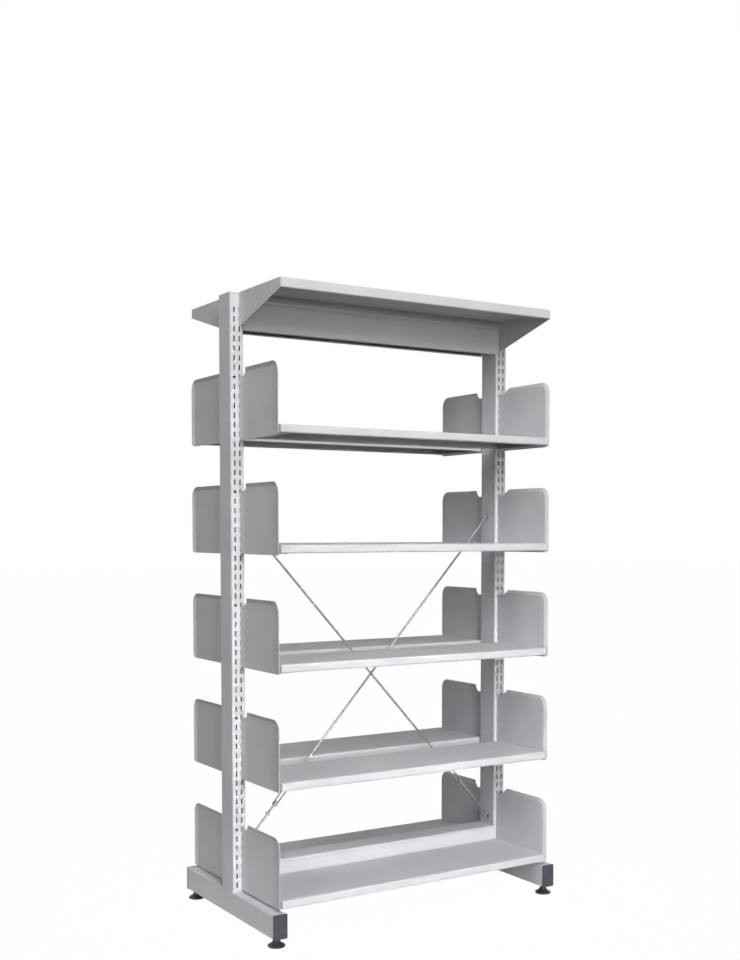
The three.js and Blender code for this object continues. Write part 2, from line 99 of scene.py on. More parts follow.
class ShelvingSizes(bpy.types.PropertyGroup):
    """Sizes of the sheet metal and fittings"""

    sheet: length("Sheet", "Thickness of the folded steel sheet", 0.0015)
    fold: length("Fold radius", "Outside radius of the shelf's folds", 0.004)
    hem: length("Hem", "Depth of the return under a shelf's front lip", 0.016)
    canopy_rear: length("Canopy rear lip", "Height of the canopy's lip beside the uprights", 0.021)
    seat: length("Seat gap", "Gap between a hooked piece and the upright's face", 0.0003)
    post_wall: length("Upright wall", "Wall of the upright's tube", 0.002)
    flare_out: length("Flare", "How far the side panel's rim leans outward", 0.007)
    flare_fold: length("Flare fold", "Radius of the fold between a side panel and its rim", 0.005)
    corner: length("Panel corner", "Outside radius of the side panel's top front corner", 0.030)
    low_corner: length("Panel low corner", "Rounding of the side panel's low front corner", 0.0095)
    notch: length("Panel notch", "Drop of the side panel's slope towards the upright", 0.019)
    ledge: length("Panel ledge", "Length of the side panel's low ledge beside the upright", 0.026)
    flange: length("Flange", "Width of the side panel's bottom flange inside its face", 0.0265)
    flange_inset: length("Flange inset", "Gap between the flange's rear end and the rear edge", 0.006)
    flange_chamfer: length("Flange chamfer", "Chamfer at the flange's rear corner", 0.006)
    skirt: length("Panel skirt", "How far the side panel hangs below its flange", 0.0033)
    hook_rise: length("Lower hook", "Height of the lower hook above the panel's bottom", 0.0293)
    hook_pitch: length("Hook pitch", "Distance between the two hooks of a panel", 0.100)
    hook_neck: length("Hook neck", "Height of a hook where it passes through its slot", 0.005)
    hook_drop: length("Hook drop", "Length of a hook's finger below its neck", 0.008)
    edge: length("Edge", "Rounding of a cut sheet edge", 0.0003)
    cap_face: length("Cap plate", "Thickness of the end cap's plate", 0.003)
    cap_corner: length("Cap corner", "Radius of the end cap's corners", 0.003)
    cap_edge: length("Cap edge", "Chamfer round the end cap's outer face", 0.0006)
    cap_border: length("Cap border", "Width of the raised border on the end cap", 0.0016)
    cap_recess: length("Cap recess", "Depth of the end cap's recessed face", 0.0006)
    cap_wall: length("Cap plug inset", "How far the end cap's plug stands inside its plate", 0.0033)
    pad_edge: length("Pad edge", "How far a foot's sole stands inside its pad", 0.0012)
    rod_bend: length("Rod bend", "Bend radius of a brace rod's hook", 0.006)
    rod_leg: length("Rod leg", "Length of a brace rod behind the upright's wall", 0.012)
    rod_gap: length("Rod gap", "Gap between the two rod ends inside a turnbuckle", 0.038)
    sleeve_boss: length("Turnbuckle boss", "Length of a turnbuckle's bored end", 0.011)
    sleeve_window: length("Turnbuckle window", "Width of a turnbuckle's open window", 0.0090)
    sleeve_bar: length("Turnbuckle bar", "Width of the bars beside a turnbuckle's window", 0.0050)
    sleeve_edge: length("Turnbuckle edge", "Rounding round a turnbuckle's two ends", 0.0012)
    bore_gap: length("Bore clearance", "Gap round a rod in its turnbuckle and lock nut", 0.0002)
    nut_height: length("Lock nut", "Height of a lock nut along its rod", 0.005)
    nose: length("Spreader nose", "Height of the raised nose along a spreader's top", 0.009)
    nose_proud: length("Nose step", "How far the nose stands in front of the skirt", 0.0015)
    spreader_lip: length("Spreader lip", "Width of the lip under a spreader's skirt", 0.015)
    knockout_width: length("Knock-out width", "Width of the cable knock-out in a bracket", 0.0154)
    knockout_height: length("Knock-out height", "Height of the cable knock-out", 0.0134)
    knockout_reach: length("Knock-out reach", "From the upright to the knock-out's middle", 0.053)
    knockout_drop: length("Knock-out drop", "From the bracket's top to the knock-out's middle", 0.013)
    knockout_sheet: length("Knock-out plate", "Thickness of the knock-out's pressed-in plate", 0.0009)
    tab_width: length("Spreader tab", "Width of the tab that is bolted to the upright", 0.060)
    tab_height: length("Spreader tab height", "Height of the tab that is bolted to the upright", 0.064)
    bolt_flange: length("Bolt flange", "Radius of the flange under a bolt's head", 0.0065)
    bolt_head: length("Bolt head", "Height of a bolt's round head", 0.0034)
    bolt_socket: length("Bolt socket", "Width across the corners of a bolt's hexagon socket", 0.0046)


class ShelvingColours(bpy.types.PropertyGroup):
    """Colours of the finishes"""

    paint: colour("Paint", "Light grey powder coat", "#d4d5d8")
    paint_shade: colour("Paint shade", "Slightly thicker powder coat", "#cbccd0")
    cap: colour("End cap", "Dark grey moulded plastic", "#38363e")
    cap_shade: colour("End cap shade", "Scuffed dark grey plastic", "#444249")
    foot: colour("Foot", "Black moulded rubber", "#1d1d1f")
    foot_shade: colour("Foot dust", "Dusty black rubber", "#2c2c2e")
    zinc: colour("Zinc", "Zinc plated steel", "#b4b6b9")
    zinc_shade: colour("Dull zinc", "Zinc plating gone dull", "#9fa1a5")


# Modelling by hand


def begin(name, primitive, scale=(1.0, 1.0, 1.0), **settings):
    """Adds a primitive at its size and place, and opens it for editing."""
    bpy.ops.object.select_all(action="DESELECT")
    primitive(**settings)
    piece = bpy.context.active_object
    piece.name = name
    piece.data.name = name
    piece.scale = scale
    bpy.ops.object.transform_apply(location=True, rotation=True, scale=True)
    bpy.ops.object.mode_set(mode="EDIT")
    bpy.ops.mesh.select_mode(type="VERT")
    return piece


def pick(piece, kind, test):
    """Selects the vertices, edges or faces of the open piece whose middle and normal pass a test."""
    bpy.ops.mesh.select_mode(type=kind)
    bpy.ops.mesh.select_all(action="DESELECT")
    shape = bmesh.from_edit_mesh(piece.data)
    found = 0
    if kind == "FACE":
        shape.normal_update()
        places = [(face, face.calc_center_median(), face.normal) for face in shape.faces]
    elif kind == "EDGE":
        places = [(edge, (edge.verts[0].co + edge.verts[1].co) / 2, None) for edge in shape.edges]
    else:
        places = [(vert, vert.co, None) for vert in shape.verts]
    for part, middle, normal in places:
        if test(middle, normal):
            part.select_set(True)
            found += 1
    shape.select_flush_mode()
    bmesh.update_edit_mesh(piece.data)
    if not found:
        raise RuntimeError(f"nothing to select on {piece.name}")


def extrude(x=0.0, y=0.0, z=0.0):
    """Draws the selection out by a distance along each axis."""
    bpy.ops.mesh.extrude_region_move(TRANSFORM_OT_translate={"value": (x, y, z)})


def swing(angle, centre, axis, steps):
    """Draws the selection round an axis by the right-hand rule; the spin tool turns the other way."""
    bpy.ops.mesh.spin(steps=steps, angle=-angle, center=centre, axis=axis)


def close(value, target):
    """Says whether a place along an axis is the one that is meant."""
    return abs(value - target) < NEAR


def end(piece, face_towards=None):
    """Closes the editing of a piece; an open sheet is turned so that it faces the given way."""
    if face_towards is not None:
        bpy.ops.mesh.select_all(action="SELECT")
        bpy.ops.mesh.normals_make_consistent(inside=False)
        shape = bmesh.from_edit_mesh(piece.data)
        largest = max(shape.faces, key=lambda face: face.calc_area())
        if largest.normal.dot(Vector(face_towards)) < 0:
            bpy.ops.mesh.flip_normals()
    bpy.ops.object.mode_set(mode="OBJECT")


def activate(piece):
    """Makes a piece the only one that is selected."""
    bpy.ops.object.select_all(action="DESELECT")
    piece.select_set(True)
    bpy.context.view_layer.objects.active = piece


def modify(piece, kind, **settings):
    """Adds a modifier with its settings and applies it."""
    activate(piece)
    modifier = piece.modifiers.new(kind.title(), kind)
    for name, value in settings.items():
        setattr(modifier, name, value)
    bpy.ops.object.modifier_apply(modifier=modifier.name)


def reopen(piece):
    """Opens a piece for editing again, with all of it selected."""
    activate(piece)
    bpy.ops.object.mode_set(mode="EDIT")
    bpy.ops.mesh.select_all(action="SELECT")


def soften(piece, width):
    """Rounds the sharp edges a little and shades the curves smooth."""
    sharp = math.radians(40)
    modify(piece, "BEVEL", width=width, segments=2, limit_method="ANGLE", angle_limit=sharp)
    smooth(piece)


def smooth(piece, angle=35.0):
    """Shades a piece smooth, apart from the edges that turn by more than an angle in degrees."""
    activate(piece)
    bpy.ops.object.shade_smooth_by_angle(angle=math.radians(angle))


def cutter(name, primitive, place, turned, **settings):
    """A solid that is only used to cut another."""
    tool = begin(name, primitive, location=place, rotation=turned, **settings)
    bpy.ops.object.mode_set(mode="OBJECT")
    return tool


def carve(piece, tool):
    """Cuts a tool out of a piece and throws the tool away."""
    modify(piece, "BOOLEAN", operation="DIFFERENCE", object=tool, solver="EXACT")
    bpy.data.objects.remove(tool)


def copy(source, name, move):
    """A copy with a mesh of its own, moved, turned or mirrored."""
    mesh = source.data.copy()
    mesh.name = name
    mesh.transform(move)
    if move.determinant() < 0:
        mesh.flip_normals()
    piece = bpy.data.objects.new(name, mesh)
    bpy.context.scene.collection.objects.link(piece)
    return piece


def dress(piece, finish):
    """Evens the shading of a finished piece and gives it its finish."""
    modify(piece, "WEIGHTED_NORMAL", keep_sharp=True)
    piece.data.materials.clear()
    piece.data.materials.append(FINISHES[finish]())


def fit(piece, node, body, finish):
    """Finishes a piece, sets it in place of its solid and lets it ride on its body."""
    dress(piece, finish)
    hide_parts(node)
    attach(piece, body)


MIRROR_X = Matrix.Scale(-1, 4, Vector((1, 0, 0)))
HALF_TURN = Matrix.Rotation(math.pi, 4, "Z")


def hand(face, side):
    """Takes a piece modelled at the front left to another corner of the unit."""
    if face == "front":
        return Matrix.Identity(4) if side == "left" else MIRROR_X
    return HALF_TURN if side == "right" else HALF_TURN @ MIRROR_X


def rise(level):
    """Takes a piece of the lowest shelf up to another level."""
    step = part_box("shelf_front_2")[1].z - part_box("shelf_front_1")[1].z
    return Matrix.Translation((0, 0, step * (level - 1)))


# Finishes

# the sockets of a mix node that hold colours share their names with others, so they go by number
COLOUR_A = 6
COLOUR_B = 7
COLOUR_MIXED = 2


def add_node(tree, kind, inputs=(), **settings):
    """Adds a node, sets it, and fills its inputs with values or with (node, output) links."""
    node = tree.nodes.new(kind)
    for name, value in settings.items():
        setattr(node, name, value)
    for socket, value in dict(inputs).items():
        if isinstance(value, tuple) and isinstance(value[0], bpy.types.Node):
            tree.links.new(value[0].outputs[value[1]], node.inputs[socket])
        else:
            node.inputs[socket].default_value = value
    return node


def finish(name, shades, patches, gloss, grain, bump, **shader_inputs):
    """A material whose colour runs between two shades over patches, whose roughness runs over a
    range with the same patches, and whose surface has a fine grain of a given depth.

    patches and grain are widths in millimetres, and bump is a strength and a depth in millimetres.
    """
    material = bpy.data.materials.get(name)
    if material:
        return material
    material = bpy.data.materials.new(name)
    material.use_nodes = True
    tree = material.node_tree
    shader = tree.nodes["Principled BSDF"]
    for socket, value in shader_inputs.items():
        shader.inputs[socket].default_value = value
    place = add_node(tree, "ShaderNodeTexCoord")
    tone = add_node(
        tree,
        "ShaderNodeTexNoise",
        {"Vector": (place, "Object"), "Scale": 1000 / patches, "Detail": 4.0},
    )
    # noise stays near its middle, so its middle is spread over the whole range
    share = add_node(
        tree, "ShaderNodeMapRange", {"Value": (tone, "Fac"), "From Min": 0.3, "From Max": 0.7}
    )
    tint = add_node(
        tree,
        "ShaderNodeMix",
        {0: (share, "Result"), COLOUR_A: list(shades[0]), COLOUR_B: list(shades[1])},
        data_type="RGBA",
    )
    shine = add_node(
        tree,
        "ShaderNodeMapRange",
        {"Value": (share, "Result"), "To Min": gloss[0], "To Max": gloss[1]},
    )
    texture = add_node(
        tree,
        "ShaderNodeTexNoise",
        {"Vector": (place, "Object"), "Scale": 1000 / grain, "Detail": 2.0},
    )
    relief = add_node(
        tree,
        "ShaderNodeBump",
        {"Height": (texture, "Fac"), "Strength": bump[0], "Distance": bump[1] / 1000},
    )
    tree.links.new(tint.outputs[COLOUR_MIXED], shader.inputs["Base Color"])
    tree.links.new(shine.outputs["Result"], shader.inputs["Roughness"])
    tree.links.new(relief.outputs["Normal"], shader.inputs["Normal"])
    return material


def powder_coat():
    """Light grey polyester powder coat, sprayed and baked: satin, with broad patches where the
    coat lies a little thicker and an orange peel of 3 mm waves that softens its reflections."""
    colours = bpy.context.scene.shelving_colours
    return finish(
        "Powder Coated Steel",
        (colours.paint, colours.paint_shade),
        patches=120,
        gloss=(0.60, 0.70),
        grain=3,
        bump=(0.12, 0.4),
        **{"IOR": 1.5, "Specular IOR Level": 0.12},
    )


def moulded_plastic():
    """Dark grey polypropylene, injection moulded: matt, with a fine grain and paler rubbed patches."""
    colours = bpy.context.scene.shelving_colours
    return finish(
        "Moulded Polypropylene",
        (colours.cap, colours.cap_shade),
        patches=20,
        gloss=(0.45, 0.62),
        grain=1.5,
        bump=(0.25, 0.2),
        IOR=1.49,
    )


def moulded_rubber():
    """Black nitrile rubber, compression moulded: soft broad highlights under a little dust."""
    colours = bpy.context.scene.shelving_colours
    return finish(
        "Moulded Rubber",
        (colours.foot, colours.foot_shade),
        patches=8,
        gloss=(0.32, 0.55),
        grain=2,
        bump=(0.15, 0.3),
        IOR=1.52,
    )


def zinc_plate():
    """Mild steel with a dulled zinc electroplate: a clouded satin shine with a fine grain."""
    colours = bpy.context.scene.shelving_colours
    return finish(
        "Zinc Plated Steel",
        (colours.zinc, colours.zinc_shade),
        patches=12,
        gloss=(0.42, 0.60),
        grain=1,
        bump=(0.12, 0.1),
        Metallic=1.0,
    )


FINISHES = {
    "painted_steel": powder_coat,
    "dark_plastic": moulded_plastic,
    "black_rubber": moulded_rubber,
    "plated_steel": zinc_plate,
}


def paint_frame():
    """Gives the solids that stay as they are their powder coat."""
    for name, node in frame["nodes"].items():
        if name.startswith(("upright", "base_beam", "canopy_bracket")):
            node.data.materials.clear()
            node.data.materials.append(powder_coat())


# Sheet metal


def flared_panel(sizes):
    """One side panel for the front left of the lowest shelf: a flat plate whose front and top
    rims lean outward, with a notch beside the upright, a rounded low corner, two hooks drawn from
    the rear edge and a flange welded inside it."""
    low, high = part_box("side_panel_front_1_left")
    post_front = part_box("upright_left")[0].y
    flare_end = math.radians(30)
    arc_out = sizes.flare_fold * (1 - math.cos(flare_end))
    arc_run = sizes.flare_fold * math.sin(flare_end)
    rim = (sizes.flare_out - arc_out - sizes.sheet * math.cos(flare_end)) / math.sin(flare_end)
    inner = low.x + sizes.flare_out
    flat_front = low.y + arc_run + rim * math.cos(flare_end)
    flat_top = high.z - arc_run - rim * math.cos(flare_end)
    bottom = low.z - sizes.skirt
    rear = post_front - sizes.seat
    turn_y = low.y + sizes.corner
    turn_z = high.z - sizes.corner
    centre = Vector((inner - sizes.flare_fold, flat_front, bottom))
    # the circle has a point every ten degrees, so that the fold starts and ends on one
    panel = begin(
        "flared_panel",
        bpy.ops.mesh.primitive_circle_add,
        vertices=36,
        radius=sizes.flare_fold,
        fill_type="NOTHING",
        location=centre,
    )

    def off_the_fold(at, _):
        turned = math.atan2(flat_front - at.y, at.x - centre.x)
        return not -NEAR_TURN < turned < flare_end + NEAR_TURN

    pick(panel, "VERT", off_the_fold)
    bpy.ops.mesh.delete(type="VERT")
    pick(panel, "VERT", lambda at, _: close(at.y, flat_front - arc_run))
    extrude(x=-rim * math.sin(flare_end), y=-rim * math.cos(flare_end))
    bpy.ops.mesh.select_all(action="SELECT")
    extrude(z=turn_z - bottom)
    swing(-math.pi / 2, (inner, turn_y, turn_z), (1, 0, 0), 10)
    extrude(y=rear - turn_y)
    pick(
        panel,
        "VERT",
        lambda at, _: close(at.x, inner) and close(at.y, rear) and close(at.z, flat_top),
    )
    extrude(z=bottom - flat_top)
    pick(panel, "EDGE", lambda at, _: close(at.x, inner))
    bpy.ops.mesh.edge_face_add()
    cut_notch(panel, Vector((inner, rear - sizes.ledge, high.z - sizes.notch)))
    pick(panel, "VERT", lambda at, _: close(at.y, low.y) and close(at.z, bottom))
    bpy.ops.mesh.bevel(offset=sizes.low_corner, segments=5, affect="VERTICES")
    end(panel, face_towards=(1, 0, 0))
    modify(panel, "SOLIDIFY", thickness=sizes.sheet, offset=-1.0)
    reopen(panel)
    for hook in range(2):
        neck_low = low.z + sizes.hook_rise + hook * sizes.hook_pitch
        add_hook(panel, sizes, rear, post_front, high.y, neck_low)
    weld_flange(panel, sizes, inner, flat_front, rear - sizes.flange_inset, low.z)
    end(panel)
    soften(panel, sizes.edge)
    return panel


def cut_notch(panel, foot):
    """Cuts the top rear corner off a panel, down a slope to its foot and from there along a ledge."""
    slope = Vector((0, 1, 1)).normalized()

    def past_the_slope(at):
        return (at - foot).dot(slope) > NEAR

    bpy.ops.mesh.select_all(action="SELECT")
    bpy.ops.mesh.bisect(plane_co=foot, plane_no=slope)
    pick(panel, "FACE", lambda at, _: past_the_slope(at))
    bpy.ops.mesh.bisect(plane_co=foot, plane_no=(0, 0, 1))
    pick(panel, "FACE", lambda at, _: past_the_slope(at) and at.z > foot.z)
    bpy.ops.mesh.delete(type="FACE")


def add_hook(panel, sizes, rear, post_front, finger_rear, neck_low):
    """Draws a hook out of the sheet's rear edge: a neck through the slot and a finger behind it."""
    neck_high = neck_low + sizes.hook_neck
    finger_front = post_front + sizes.post_wall + sizes.seat
    for height in (neck_low, neck_high):
        bpy.ops.mesh.select_all(action="SELECT")
        bpy.ops.mesh.bisect(plane_co=(0, 0, height), plane_no=(0, 0, 1))
    pick(
        panel,
        "FACE",
        lambda at, normal: normal.y > FACING and close(at.y, rear) and neck_low < at.z < neck_high,
    )
    extrude(y=finger_front - rear)
    extrude(y=finger_rear - finger_front)
    pick(
        panel,
        "FACE",
        lambda at, normal: normal.z < -FACING
        and close(at.z, neck_low)
        and finger_front < at.y < finger_rear,
    )
    extrude(z=-sizes.hook_drop)


def weld_flange(panel, sizes, inner, front, rear, bottom):
    """Adds the strip that carries the shelf inside a panel, with its rear corner cut off."""
    sunk = inner - sizes.sheet / 2
    edge = inner + sizes.flange
    middle = ((sunk + edge) / 2, (front + rear) / 2, bottom + sizes.sheet / 2)
    bpy.ops.mesh.primitive_cube_add(size=1.0, location=middle)
    bpy.ops.transform.resize(
        value=(edge - sunk, rear - front, sizes.sheet), center_override=middle
    )
    pick(
        panel,
        "EDGE",
        lambda at, _: close(at.x, edge) and close(at.y, rear) and close(at.z, middle[2]),
    )
    bpy.ops.mesh.bevel(offset=sizes.flange_chamfer, segments=1, affect="EDGES")


def folded_tray(name, node, sizes, front_height, rear_height):
    """A shelf or canopy: a top sheet with a front lip, a hem under it and a rear lip."""
    low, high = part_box(node)
    tray = begin(
        name,
        bpy.ops.mesh.primitive_plane_add,
        size=1.0,
        location=((low.x + high.x) / 2, (low.y + high.y) / 2, high.z),
        scale=(high.x - low.x, high.y - low.y, 1.0),
    )
    pick(tray, "EDGE", lambda at, _: close(at.y, low.y))
    extrude(z=-front_height)
    extrude(y=sizes.hem)
    pick(tray, "EDGE", lambda at, _: close(at.y, high.y))
    extrude(z=-rear_height)
    folds = ((low.y, high.z), (low.y, high.z - front_height), (high.y, high.z))
    pick(
        tray,
        "EDGE",
        lambda at, _: close(at.x, (low.x + high.x) / 2)
        and any(close(at.y, y) and close(at.z, z) for y, z in folds),
    )
    bpy.ops.mesh.bevel(offset=sizes.fold, segments=5, affect="EDGES")
    hem_end = low.y + sizes.hem
    bpy.ops.mesh.select_all(action="SELECT")
    bpy.ops.mesh.bisect(plane_co=(0, hem_end, 0), plane_no=(0, 1, 0))
    for side in (low.x, high.x):
        pick(tray, "EDGE", lambda at, _: close(at.x, side) and at.y < hem_end - NEAR)
        bpy.ops.mesh.edge_face_add()
    end(tray, face_towards=(0, 0, 1))
    modify(tray, "SOLIDIFY", thickness=sizes.sheet, offset=-1.0)
    soften(tray, sizes.edge)
    return tray


def spreader(name, node, sizes):
    """A folded channel between the uprights: a top sheet with a rounded nose along both edges, two
    skirts with a lip under each, and a tab at both ends that is bolted to the upright."""
    low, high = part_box(node)
    channel = begin(
        name,
        bpy.ops.mesh.primitive_plane_add,
        size=1.0,
        location=(0, 0, high.z),
        scale=(high.x - low.x, high.y - low.y, 1.0),
    )
    under_nose = high.z - sizes.nose
    for way in (-1, 1):
        edge = low.y if way < 0 else high.y
        pick(channel, "EDGE", lambda at, _: close(at.y, edge))
        extrude(z=-(sizes.nose - sizes.nose_proud))
        extrude(y=-way * sizes.nose_proud, z=-sizes.nose_proud)
        extrude(z=low.z - under_nose)
        extrude(y=-way * sizes.spreader_lip)
    skirt = high.y - sizes.nose_proud
    rounded = ((high.y, high.z, sizes.fold), (skirt, low.z, sizes.fold / 2))
    for y, z, radius in rounded:
        pick(
            channel,
            "EDGE",
            lambda at, _: close(at.x, 0) and close(abs(at.y), y) and close(at.z, z),
        )
        bpy.ops.mesh.bevel(offset=radius, segments=4, affect="EDGES")
    half_tab = sizes.tab_width / 2
    for way in (-1, 1):
        bpy.ops.mesh.select_all(action="SELECT")
        bpy.ops.mesh.bisect(plane_co=(0, way * half_tab, 0), plane_no=(0, 1, 0))
    for way in (-1, 1):
        pick(
            channel,
            "EDGE",
            lambda at, _: close(at.x, way * high.x) and close(at.z, high.z) and abs(at.y) < half_tab,
        )
        extrude(z=-sizes.tab_height)
    end(channel, face_towards=(0, 0, 1))
    modify(channel, "SOLIDIFY", thickness=sizes.sheet, offset=-1.0)
    soften(channel, sizes.edge)
    return channel


def button_bolt(sizes):
    """A flanged bolt with a round head and a hexagon socket, in the top spreader's front left tab."""
    low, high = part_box("top_spreader")
    flange = sizes.bolt_head / 3
    seat = Vector((low.x + sizes.sheet, -sizes.tab_width / 4, high.z - sizes.tab_height / 2))
    turned = (0, math.pi / 2, 0)
    bolt = begin(
        "button_bolt",
        bpy.ops.mesh.primitive_cylinder_add,
        vertices=24,
        radius=sizes.bolt_flange,
        depth=flange,
        location=seat + Vector((flange / 2, 0, 0)),
        rotation=turned,
    )
    top = seat.x + flange
    pick(bolt, "FACE", lambda at, normal: normal.x > FACING and close(at.x, top))
    bpy.ops.mesh.inset(thickness=sizes.bolt_flange / 5)
    extrude(x=sizes.bolt_head - flange)
    bpy.ops.mesh.bevel(offset=sizes.bolt_head / 3, segments=3, affect="EDGES")
    end(bolt)
    carve(
        bolt,
        cutter(
            "socket",
            bpy.ops.mesh.primitive_cylinder_add,
            seat + Vector((sizes.bolt_head, 0, 0)),
            turned,
            vertices=6,
            radius=sizes.bolt_socket / 2,
            depth=sizes.bolt_head,
        ),
    )
    smooth(bolt, 40.0)
    return bolt


def cable_knockout(sizes):
    """The pressed-in plate that closes the cable window in the front left canopy bracket."""
    low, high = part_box("canopy_bracket_front_left")
    plate = begin(
        "cable_knockout",
        bpy.ops.mesh.primitive_cube_add,
        size=1.0,
        location=(
            low.x + sizes.sheet / 2,
            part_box("upright_left")[0].y - sizes.knockout_reach,
            high.z - sizes.knockout_drop,
        ),
        scale=(sizes.knockout_sheet, sizes.knockout_width, sizes.knockout_height),
    )
    end(plate)
    soften(plate, sizes.edge)
    return plate


# Feet and end caps


def levelling_foot(name, node, sizes):
    """A moulded foot: a rounded pad, a cone, a round collar and a plain stem."""
    low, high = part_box(node)
    centre = (low + high) / 2
    pad = (high.x - low.x) / 2
    collar = pad * 0.30
    stem = pad * 0.22
    radius = pad - sizes.pad_edge
    height = 0.0
    foot = begin(
        name,
        bpy.ops.mesh.primitive_circle_add,
        vertices=36,
        radius=radius,
        fill_type="NGON",
        location=(centre.x, centre.y, low.z),
    )
    bpy.ops.mesh.select_all(action="SELECT")
    # the radius of each ring and its height above the sole, up the pad, cone, collar and stem
    rings = (
        (pad, 0.0010),
        (pad, 0.0040),
        (pad - 0.0010, 0.0052),
        (pad * 0.72, 0.0075),
        (pad * 0.52, 0.0115),
        (pad * 0.43, 0.0150),
        (pad * 0.40, 0.0172),
        (collar, 0.0176),
        (collar, 0.0237),
        (stem, 0.0240),
        (stem, high.z - low.z),
    )
    for next_radius, next_height in rings:
        extrude(z=next_height - height)
        scale = next_radius / radius
        bpy.ops.transform.resize(
            value=(scale, scale, 1.0), center_override=(centre.x, centre.y, low.z + next_height)
        )
        radius = next_radius
        height = next_height
    bpy.ops.mesh.select_all(action="SELECT")
    bpy.ops.mesh.normals_make_consistent(inside=False)
    end(foot)
    smooth(foot, 30.0)
    return foot


def end_cap(name, node, sizes):
    """A plastic cap for the front end of a base beam: a rounded plate with a recessed face, and
    the plug behind it."""
    low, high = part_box(node)
    middle = (low + high) / 2
    half = (high - low) / 2
    cap = begin(
        name,
        bpy.ops.mesh.primitive_cube_add,
        size=1.0,
        location=(middle.x, low.y + (sizes.cap_face + sizes.cap_edge) / 2, middle.z),
        scale=(high.x - low.x, sizes.cap_face - sizes.cap_edge, high.z - low.z),
    )
    pick(
        cap,
        "EDGE",
        lambda at, _: close(abs(at.x - middle.x), half.x) and close(abs(at.z - middle.z), half.z),
    )
    bpy.ops.mesh.bevel(offset=sizes.cap_corner, segments=5, affect="EDGES")
    pick(cap, "FACE", lambda at, normal: normal.y > FACING)
    bpy.ops.mesh.inset(thickness=sizes.cap_wall)
    extrude(y=high.y - low.y - sizes.cap_face)
    pick(cap, "FACE", lambda at, normal: normal.y < -FACING)
    bpy.ops.mesh.inset(thickness=sizes.cap_edge, depth=sizes.cap_edge)
    bpy.ops.mesh.inset(thickness=sizes.cap_border)
    bpy.ops.mesh.inset(thickness=sizes.cap_recess, depth=-sizes.cap_recess)
    bpy.ops.mesh.select_all(action="SELECT")
    bpy.ops.mesh.normals_make_consistent(inside=False)
    end(cap)
    smooth(cap, 30.0)
    return cap


# Crossed braces


def brace(side):
    """The line of one brace: the turnbuckle's middle, the way up along it, and the rod's radius."""
    joint = next(entry for entry in frame["joints"] if entry["name"] == f"turnbuckle_{side}_turn")
    low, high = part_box(f"brace_rod_upper_{side}")
    return Vector(joint["pos_m"]), Vector(joint["axis"]).normalized(), (high.y - low.y) / 2


def bent_rod(name, node, side, upper, sizes):
    """A rod from inside the turnbuckle to the upright, bent in through the wall and along it."""
    middle, up, radius = brace(side)
    low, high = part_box(node)
    way = 1 if upper else -1
    along = up * way
    tip = middle + along * sizes.rod_gap / 2
    elbow_z = high.z - sizes.rod_leg if upper else low.z + sizes.rod_leg
    elbow = middle + along * ((elbow_z - middle.z) / along.z)
    outward = 1 if elbow.x > 0 else -1
    turn_x = (high.x if outward > 0 else low.x) - outward * radius
    turn = Vector((turn_x, elbow.y, elbow_z))
    leg_end = turn + Vector((0, 0, way * sizes.rod_leg))
    rod = begin(
        name,
        bpy.ops.mesh.primitive_circle_add,
        vertices=16,
        radius=radius,
        fill_type="NOTHING",
        location=tip,
        rotation=along.to_track_quat("Z", "Y").to_euler(),
    )
    bpy.ops.mesh.select_all(action="SELECT")
    heading = along
    here = tip
    for corner, after in ((elbow, turn), (turn, leg_end)):
        following = (after - corner).normalized()
        angle = heading.angle(following)
        setback = sizes.rod_bend * math.tan(angle / 2)
        extrude(*(corner - heading * setback - here))
        axis = heading.cross(following).normalized()
        centre = corner - heading * setback + axis.cross(heading) * sizes.rod_bend
        swing(angle, centre, axis, 5)
        here = corner + following * setback
        heading = following
    extrude(*(leg_end - here))
    bpy.ops.mesh.select_all(action="SELECT")
    bpy.ops.mesh.fill_holes(sides=0)
    bpy.ops.mesh.select_all(action="SELECT")
    bpy.ops.mesh.normals_make_consistent(inside=False)
    end(rod)
    smooth(rod, 40.0)
    return rod


def lean(up):
    """The turn that takes Z along a brace and keeps Y."""
    across = Vector((0, 1, 0)).cross(up).normalized()
    return Matrix((across, Vector((0, 1, 0)), up)).transposed().to_euler()


def bore(piece, place, turned, radius, depth):
    """Drills a round hole through a piece."""
    drill = cutter(
        "bore",
        bpy.ops.mesh.primitive_cylinder_add,
        place,
        turned,
        vertices=24,
        radius=radius,
        depth=depth,
    )
    carve(piece, drill)


